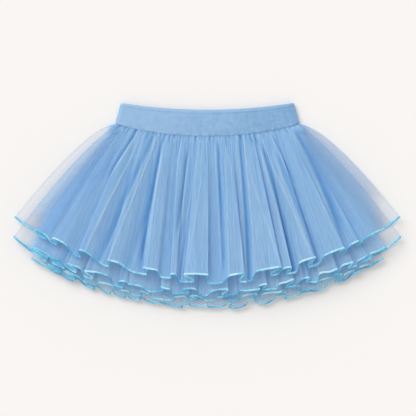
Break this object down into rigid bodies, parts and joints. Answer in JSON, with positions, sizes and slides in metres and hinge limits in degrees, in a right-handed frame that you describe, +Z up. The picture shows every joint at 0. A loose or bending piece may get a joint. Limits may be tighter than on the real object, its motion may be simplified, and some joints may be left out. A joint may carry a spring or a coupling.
{
  "type": "tulle skirt",
  "caption": "Child's layered tulle skirt laid flat, with a plain knit waistband and satin-edged ruffled hems.",
  "frame": {"origin": "on the surface it lies on, under the middle of the laid-out skirt's box", "axes": "+Y towards the waist, +X towards the right of the front panel, +Z up from the surface, out of the front panel"},
  "size_m": [0.481, 0.254, 0.0367],
  "materials": {
    "knit": "fine matt jersey knit",
    "tulle": "sheer fine net",
    "satin": "glossy narrow satin edging"
  },
  "bodies": {
    "root": {"waistband": "knit", "tulle_outer": "tulle", "tulle_middle": "tulle", "tulle_under": "tulle", "edging_outer": "satin", "edging_middle": "satin", "edging_under": "satin"}
  },
  "joints": []
}
